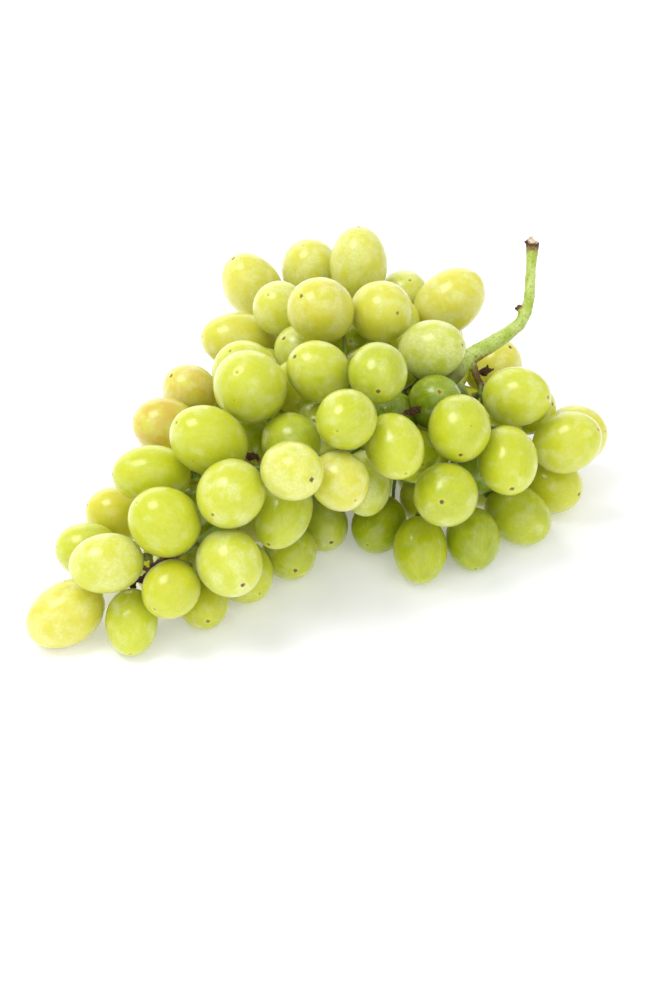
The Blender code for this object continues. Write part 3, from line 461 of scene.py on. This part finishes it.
insideTonesAndShade = {
    # berries inside the larger nodes that show: the node, single berries round it, and its tone, mostly
    # greener, darker and barer of bloom as painted shade inside the bunch
    ("cluster_right_inner", "right_6", "top_6"): (-0.75, 0.05, 0.0),
    ("cluster_right_inner", "mid_17", "top_7"): (-0.8, 0.05, 0.0),
    ("cluster_right_inner", "right_11", "right_12"): (-0.4, 0.05, 0.0),
    ("cluster_right_base", "top_3", "top_6"): (-0.9, 0.05, 0.0),
    ("cluster_right_base", "right_8", "right_9"): (-1.0, 0.05, 0.0),
    ("cluster_right_base", "right_2", "top_6"): (-0.1, 0.05, 0.0),
    ("cluster_right_base", "wing_1", "wing_2"): (0.0, 0.05, 0.0),
    ("cluster_crown_inner", "mid_5", "mid_6"): (-0.2, 0.9, 0.0),
    ("cluster_crown_inner", "mid_6", "top_2", "top_3"): (-0.4, 0.05, 0.0),
    ("cluster_left_inner", "mid_2", "mid_17"): (-0.4, 0.05, 0.0),
    ("cluster_left_inner", "low_3", "tip_8"): (-0.5, 0.05, 0.0),
}


def berryAmong(node, *neighbours):
    # the berry of a larger node that is nearest to these single ones taken together
    places = [found[name][0]["middle"] for name in neighbours]
    return min(found[node], key=lambda berry: sum((berry["middle"] - place).length for place in places))


def toneAndShadeByCrowding(berry, middles):
    near = sum((other - berry["middle"]).length < crowdingShade["reach"] for other in middles) - 1
    share = (near - crowdingShade["open"]) / (crowdingShade["deep"] - crowdingShade["open"])
    ripeness = crowdingShade["openRipeness"] - crowdingShade["ripenessAndLightLost"] * min(1.0, max(0.0, share))
    return ripeness, crowdingShade["bloom"], 0.0


grapeTree = makeGrapeTree()
skinMaterial = makeSkin()
middles = [berry["middle"] for berries in found.values() for berry in berries]
for spot, tone in insideTonesAndShade.items():
    berryAmong(*spot)["tone"] = tone
scarDarkness = random.Random(5)       # the seed is fixed, as the stem's is, so that each run gives the same
counter = 0
for node, berries in found.items():
    parts = []
    for berry in berries:
        counter += 1
        ripeness, bloom, blush = berryTonesAndLight.get(node) or berry.get("tone") or toneAndShadeByCrowding(berry, middles)
        mesh = growGrape(grapeTree, node + "_grape", berry, {
            "Width": berry["width"] * grape["fullness"], "Length": berry["length"] * grape["fullness"],
            "Around": grape["around"], "Along": grape["along"], "Pole Crowding": grape["poleCrowding"],
            "Egg": grape["egg"], "Lump": grape["lump"], "Seed": counter * grape["seedStep"],
            "Shoulder": grape["shoulder"], "Shoulder Width": grape["shoulderWidth"],
            "Groove": grape["groove"], "Groove Width": grape["grooveWidth"],
            "Scar": grape["scar"], "Scar Width": grape["scarWidth"],
            "Tone": (ripeness, scarDarkness.random(), bloom), "Blush": blush, "Skin": skinMaterial})
        part = bpy.data.objects.new(node + "_grape", mesh)
        bpy.context.scene.collection.objects.link(part)
        parts.append(part)
    if len(parts) > 1:
        with bpy.context.temp_override(active_object=parts[0], selected_editable_objects=parts):
            bpy.ops.object.join()
    piece = parts[0]
    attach(piece, "root")
    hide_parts(node)
print("grew", counter, "grapes")

stem = {
    "grain": 0.43 * millimetre,   # of the mesh that it is made into
    "smoothing": 4,
    "swell": 0.04 * millimetre,
    "stalkSmoothing": 20,         # the stout stalk bends in one even curve
    "stalkSwell": 0.13 * millimetre,    # gives back what the smoothing takes
    "stalkReach": 4.5 * millimetre,     # of its skin from its middle line, below, from the cut end down
    "stalkLine": [(0.0646, 0.0390, 0.0750), (0.0640, 0.0330, 0.0680), (0.0626, 0.0240, 0.0580),
                  (0.0566, 0.0200, 0.0525), (0.0446, 0.0170, 0.0460)],
    "knobs": 0.16 * millimetre,   # how far the skin of the stalk rises and falls
    "knobSpacing": 3.2 * millimetre,
    "cracks": 0.45 * millimetre,        # and how rough the dry wood is
    "crackSpacing": 0.9 * millimetre,
    "pithAt": (0.0646, 0.0390, 0.0752),
    "pithReach": 2.0 * millimetre,
    # stalks that have lost their berry end in a few dry prongs, and the cut end in torn fibres: the end,
    # which way it points, and its size
    "bareEnds": [((0.0501, 0.0160, 0.0412), (1.0, 0.2, 0.4), 1.0),
                 ((-0.0414, -0.0330, 0.0362), (0.0, -0.3, 1.0), 1.0),
                 ((0.0266, -0.0160, 0.0472), (1.0, 0.0, 0.2), 1.0),
                 ((-0.0234, -0.0330, 0.0422), (-1.0, -0.3, 0.3), 1.0),
                 ((0.0632, 0.0386, 0.0748), (-0.5, 0.0, 1.5), 0.6),
                 ((0.0657, 0.0382, 0.0746), (0.4, -0.3, 1.5), 0.55),
                 ((0.0645, 0.0402, 0.0750), (0.0, 0.3, 1.5), 0.6)],
    "prongs": 4,
    "prongSides": 8,
    "prongSpread": 0.9,
    "prongLength": 3.2 * millimetre,
    "prongRadii": (0.85 * millimetre, 0.42 * millimetre),
    "prongSunk": 0.1,             # the share of a prong that is inside the end it grows from
    "prongRoom": 0.6 * millimetre,      # a prong whose tip would be nearer a berry than this is cut shorter
    "prongCut": 0.8,              # by this each time
    "shortestProng": 0.3,         # and no further than this, as a share of the length above
    # where it has turned to wood: a place, how far it reaches, and how brown
    "wood": [((0.0646, 0.0390, 0.0755), 0.0052, 0.85), ((0.0592, 0.0247, 0.0605), 0.0026, 1.0),
             ((0.0505, 0.0160, 0.0405), 0.0085, 1.0), ((-0.0414, -0.0330, 0.0360), 0.0050, 1.0),
             ((0.0266, -0.0160, 0.0470), 0.0060, 1.0), ((-0.0234, -0.0330, 0.0420), 0.0050, 1.0),
             ((-0.0554, -0.0620, 0.0160), 0.0120, 0.9), ((-0.0515, -0.0560, 0.0180), 0.0120, 0.8)],
}
bark = {
    "green": "#A8C040",
    "pale": "#D2DE8C",
    "deep": "#5F8A1A",
    "tan": "#A08446",
    "brown": "#6B4328",
    "dark": "#38231A",
    "cream": "#E2D3B4",           # the pith in the cut end
    "speck": "#5B6A2A",
    "speckSpacing": 0.9,          # millimetres, as are the next two
    "patchSpacing": 4.5,
    "grainSpacing": 0.63,
    "specksLeftOut": 0.55,        # the share of places that have none
    "ior": 1.45,
    "roughness": 0.48,
    "dryRoughness": 0.25,         # added where it is dry
    "bumpStrength": 0.7,
    "bumpDepth": 0.2 * millimetre,
    "softness": 0.35,             # how much of the light goes in
    "depth": 0.8 * millimetre,
    "depthByColour": (1.0, 1.0, 0.3),
}


def applyModifiers(piece):
    mesh = bpy.data.meshes.new_from_object(piece.evaluated_get(bpy.context.evaluated_depsgraph_get()))
    piece.modifiers.clear()
    piece.data = mesh


def distanceToLine(points, line):
    # how far each point is from a line of straight runs
    nearest = np.full(len(points), 1.0)
    for start, end in zip(np.array(line[:-1]), np.array(line[1:])):
        along = np.clip((points - start) @ (end - start) / ((end - start) @ (end - start)), 0, 1)
        nearest = np.minimum(nearest, np.linalg.norm(points - start - along[:, None] * (end - start), axis=1))
    return nearest


def insideBerry(place):
    # whether a place is in a berry, or within a prong's room of one
    for berries in found.values():
        for berry in berries:
            offset = place - berry["middle"]
            along = offset.dot(berry["axis"])
            across = (offset - berry["axis"] * along).length
            halfLength = berry["length"] / 2 + stem["prongRoom"]
            halfWidth = berry["width"] / 2 + stem["prongRoom"]
            if (along / halfLength) ** 2 + (across / halfWidth) ** 2 < 1:
                return True
    return False


def makeStem():
    piece = stemNode.copy()
    piece.data = stemNode.data.copy()
    piece.name = "stem_skin"
    piece.data.name = "stem_skin"
    piece.parent = None
    for key in list(piece.keys()):
        del piece[key]
    bpy.context.scene.collection.objects.link(piece)
    shape = bmesh.new()
    shape.from_mesh(piece.data)
    bmesh.ops.remove_doubles(shape, verts=shape.verts, dist=finding["weld"])
    draw = random.Random(8)
    for end, direction, size in stem["bareEnds"]:
        for prong in range(stem["prongs"]):
            spread = Vector([draw.uniform(-1, 1) for axis in range(3)]) * stem["prongSpread"]
            toward = (Vector(direction).normalized() + spread).normalized()
            length = size * stem["prongLength"] * draw.uniform(0.7, 1.1)
            outside = 1 - stem["prongSunk"]
            shortest = stem["shortestProng"] * stem["prongLength"]
            while length > shortest and insideBerry(Vector(end) + toward * length * outside):
                length *= stem["prongCut"]
            middle = Vector(end) + toward * length * (0.5 - stem["prongSunk"])
            place = Matrix.Translation(middle) @ toward.to_track_quat("Z", "Y").to_matrix().to_4x4()
            girths = [size ** 0.5 * radius for radius in stem["prongRadii"]]
            bmesh.ops.create_cone(shape, cap_ends=True, segments=stem["prongSides"], radius1=girths[0],
                                  radius2=girths[1], depth=length, matrix=place)
    shape.to_mesh(piece.data)
    shape.free()
    remesh = piece.modifiers.new("remesh", "REMESH")
    remesh.mode = "VOXEL"
    remesh.voxel_size = stem["grain"]
    remesh.use_smooth_shade = True
    applyModifiers(piece)
    offLine = distanceToLine(np.array([v.co[:] for v in piece.data.vertices]), stem["stalkLine"])
    inStalk = [i for i, off in enumerate(offLine) if off < stem["stalkReach"]]
    piece.vertex_groups.new(name="stalk").add(inStalk, 1.0, "REPLACE")
    for group, rounds in (("", stem["smoothing"]), ("stalk", stem["stalkSmoothing"])):
        smooth = piece.modifiers.new("smooth", "SMOOTH")
        smooth.factor = 0.5
        smooth.iterations = rounds
        smooth.vertex_group = group
    applyModifiers(piece)
    piece.vertex_groups.clear()
    mesh = piece.data
    places = np.array([v.co[:] for v in mesh.vertices])
    normals = np.array([v.normal[:] for v in mesh.vertices])
    wood = np.zeros(len(places))
    for place, reach, strength in stem["wood"]:
        away = np.linalg.norm(places - place, axis=1) / reach
        wood = np.maximum(wood, strength * np.clip(1.6 * (1 - away), 0, 1))
    knobs = np.array([noise.noise(Vector(p) / stem["knobSpacing"]) for p in places])
    cracks = np.array([noise.noise(Vector(p) / stem["crackSpacing"]) for p in places])
    rise = stem["knobs"] * knobs + stem["cracks"] * cracks * (0.12 + wood) + stem["swell"]
    rise[inStalk] += stem["stalkSwell"]
    pith = np.linalg.norm(places - stem["pithAt"], axis=1) < stem["pithReach"]
    stout = np.clip(2 - distanceToLine(places, stem["stalkLine"]) / stem["stalkReach"], 0, 1)
    mesh.vertices.foreach_set("co", (places + normals * rise[:, None]).ravel())
    for name, values in (("wood", wood), ("pith", pith.astype(float)), ("stout", stout)):
        mesh.attributes.new(name, "FLOAT", "POINT").data.foreach_set("value", values)
    return piece


def makeBark():
    # young grape stalk: matt green rind with pale ridges and dark pores, brown cork where it has dried
    material = bpy.data.materials.new("green_stalk")
    material.use_nodes = True
    tree = material.node_tree
    tree.nodes.clear()

    coordinates = addNode(tree, "ShaderNodeTexCoord")["Object"]
    inPlace = addNode(tree, "ShaderNodeVectorMath", {"operation": "SCALE"},
                      {0: coordinates, "Scale": 1000.0})[0]
    wood, stout, pith = (addNode(tree, "ShaderNodeAttribute", {"attribute_name": name})["Fac"]
                         for name in ("wood", "stout", "pith"))
    broad, fine = (addNode(tree, "ShaderNodeTexNoise",
                           inputs={"Vector": inPlace, "Scale": 1 / spacing, "Detail": 2.5})[0]
                   for spacing in (bark["patchSpacing"], bark["grainSpacing"]))
    pores = addNode(tree, "ShaderNodeTexVoronoi",
                    inputs={"Vector": inPlace, "Scale": 1 / bark["speckSpacing"]})
    chance = addNode(tree, "ShaderNodeSeparateColor", inputs=[pores["Color"]])[0]
    inPore = addNode(tree, "ShaderNodeMapRange", smoothStep, [pores["Distance"], 0.12, 0.3, 0.6, 0.0])[0]
    some = addNode(tree, "ShaderNodeMath", {"operation": "GREATER_THAN"}, [chance, bark["specksLeftOut"]])[0]
    speck = addNode(tree, "ShaderNodeMath", clamped, [inPore, some])[0]

    # the thin stalks under the berries are darker and partly corked over
    corky = addNode(tree, "ShaderNodeMapRange", smoothStep, [broad, 0.44, 0.60, 0.0, 0.85])[0]
    thin = addNode(tree, "ShaderNodeMix", mixColours,
                   {0: corky, 6: hexColour(bark["deep"]), 7: hexColour(bark["brown"])})[2]
    stoutShare = addNode(tree, "ShaderNodeMapRange", {}, [stout, 0.0, 1.0, 0.25, 1.0])[0]
    ridge = addNode(tree, "ShaderNodeMapRange", smoothStep, [broad, 0.3, 0.7, 0.0, 0.8])[0]
    shaded = addNode(tree, "ShaderNodeMapRange", smoothStep, [fine, 0.5, 0.75, 0.0, 0.5])[0]
    rind = hexColour(bark["green"])
    for share, colour in ((ridge, "pale"), (shaded, "deep")):
        rind = addNode(tree, "ShaderNodeMix", mixColours, {0: share, 6: rind, 7: hexColour(bark[colour])})[2]
    base = addNode(tree, "ShaderNodeMix", mixColours, {0: stoutShare, 6: thin, 7: rind})[2]

    # dry wood: tan at its edge, then brown with dark cracks
    uneven = addNode(tree, "ShaderNodeMath", {"operation": "MULTIPLY_ADD"}, [fine, 0.9, -0.45])[0]
    ragged = addNode(tree, "ShaderNodeMath", {"operation": "ADD"}, [wood, uneven])[0]
    tanShare = addNode(tree, "ShaderNodeMapRange", smoothStep, [ragged, 0.05, 0.45, 0.0, 0.8])[0]
    dry = addNode(tree, "ShaderNodeMapRange", smoothStep, [ragged, 0.30, 0.80])[0]
    cracked = addNode(tree, "ShaderNodeMapRange", smoothStep, [fine, 0.62, 0.40])[0]
    crackShare = addNode(tree, "ShaderNodeMath", clamped, [dry, cracked])[0]
    pithEdge = addNode(tree, "ShaderNodeMapRange", smoothStep, [fine, 0.3, 0.55])[0]
    pithShare = addNode(tree, "ShaderNodeMath", clamped, [pith, pithEdge])[0]
    for share, colour in ((speck, "speck"), (tanShare, "tan"), (dry, "brown"), (crackShare, "dark"),
                          (pithShare, "cream")):
        base = addNode(tree, "ShaderNodeMix", mixColours, {0: share, 6: base, 7: hexColour(bark[colour])})[2]

    rough = addNode(tree, "ShaderNodeMath", {"operation": "MULTIPLY_ADD"},
                    [dry, bark["dryRoughness"], bark["roughness"]])[0]
    relief = addNode(tree, "ShaderNodeMath", {"operation": "ADD"}, [fine, speck])[0]
    bump = addNode(tree, "ShaderNodeBump", inputs={
        "Strength": bark["bumpStrength"], "Distance": bark["bumpDepth"], "Height": relief})[0]
    surface = addNode(tree, "ShaderNodeBsdfPrincipled", inputs={
        "Base Color": base, "Roughness": rough, "Normal": bump, "IOR": bark["ior"],
        "Subsurface Weight": bark["softness"], "Subsurface Radius": bark["depthByColour"],
        "Subsurface Scale": bark["depth"]})[0]
    addNode(tree, "ShaderNodeOutputMaterial", inputs=[surface])
    return material


stemPiece = makeStem()
stemPiece.data.materials.clear()
stemPiece.data.materials.append(makeBark())
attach(stemPiece, "root")
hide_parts("stem")
print("stem has", len(stemPiece.data.polygons), "faces")

studio = {
    "table": "#F0F0FA",
    "tableSide": 6.0,
    "tableRoughness": 0.7,
    "tableSpecular": 0.2,
    "tableGlow": 0.24,            # a lit white table, which keeps the shadows open
    "sky": "#FFFFFF",
    "skyStrength": 0.70,
    "keyFrom": (-0.38, -0.10, 0.92),    # directions from the bunch
    "keyPower": 4.3,
    "keySide": (0.45, 0.45),
    "rimFrom": (-0.30, 0.88, 0.36),
    "rimPower": 3.0,
    "rimSide": (1.6, 0.6),
    "fillFrom": (0.15, -0.80, 0.60),
    "fillPower": 3.3,
    "fillSide": (1.6, 1.0),
    "distance": 1.0,              # of the lamps
    "aim": (-0.001445, 0.00398, 0.0),   # what the lamps and the camera point at
    "cameraDistance": 0.89,
    "elevation": 35.0,
    "lens": 100.0,
}


def makeTable():
    side = studio["tableSide"] / 2
    mesh = bpy.data.meshes.new("table")
    mesh.from_pydata([(-side, -side, 0), (side, -side, 0), (side, side, 0), (-side, side, 0)], [],
                     [(0, 1, 2, 3)])
    table = bpy.data.objects.new("table", mesh)
    bpy.context.scene.collection.objects.link(table)
    # seamless paper: bright, matt, with no grain at this distance
    material = bpy.data.materials.new("matt_paper")
    material.use_nodes = True
    surface = material.node_tree.nodes["Principled BSDF"]
    surface.inputs["Base Color"].default_value = hexColour(studio["table"])
    surface.inputs["Roughness"].default_value = studio["tableRoughness"]
    surface.inputs["Specular IOR Level"].default_value = studio["tableSpecular"]
    surface.inputs["Emission Color"].default_value = hexColour(studio["sky"])
    surface.inputs["Emission Strength"].default_value = studio["tableGlow"]
    mesh.materials.append(material)
    return table


def softbox(name, direction, power, side):
    light = bpy.data.lights.new(name, "AREA")
    light.energy = power
    light.shape = "RECTANGLE"
    light.size, light.size_y = side
    lamp = bpy.data.objects.new(name, light)
    toward = Vector(direction).normalized()
    lamp.location = Vector(studio["aim"]) + toward * studio["distance"]
    lamp.rotation_euler = toward.to_track_quat("Z", "Y").to_euler()     # its own Y stays upright
    bpy.context.scene.collection.objects.link(lamp)


def makeCamera():
    camera = bpy.data.objects.new("camera", bpy.data.cameras.new("camera"))
    camera.data.lens = studio["lens"]
    camera.data.clip_start = 0.05
    camera.data.clip_end = 20
    lean = math.radians(studio["elevation"])
    back = Vector((0, -math.cos(lean), math.sin(lean)))
    camera.location = Vector(studio["aim"]) + back * studio["cameraDistance"]
    camera.rotation_euler = (math.pi / 2 - lean, 0, 0)
    bpy.context.scene.collection.objects.link(camera)
    bpy.context.scene.camera = camera


makeTable()
softbox("key", studio["keyFrom"], studio["keyPower"], studio["keySide"])
softbox("fill", studio["fillFrom"], studio["fillPower"], studio["fillSide"])
softbox("rim", studio["rimFrom"], studio["rimPower"], studio["rimSide"])
makeCamera()
scene = bpy.context.scene
scene.world = bpy.data.worlds.new("white_studio")
scene.world.use_nodes = True
skyTree = scene.world.node_tree
background = skyTree.nodes["Background"]
background.inputs["Color"].default_value = hexColour(studio["sky"])
background.inputs["Strength"].default_value = studio["skyStrength"]
scene.view_settings.view_transform = "Standard"
print("studio is set")
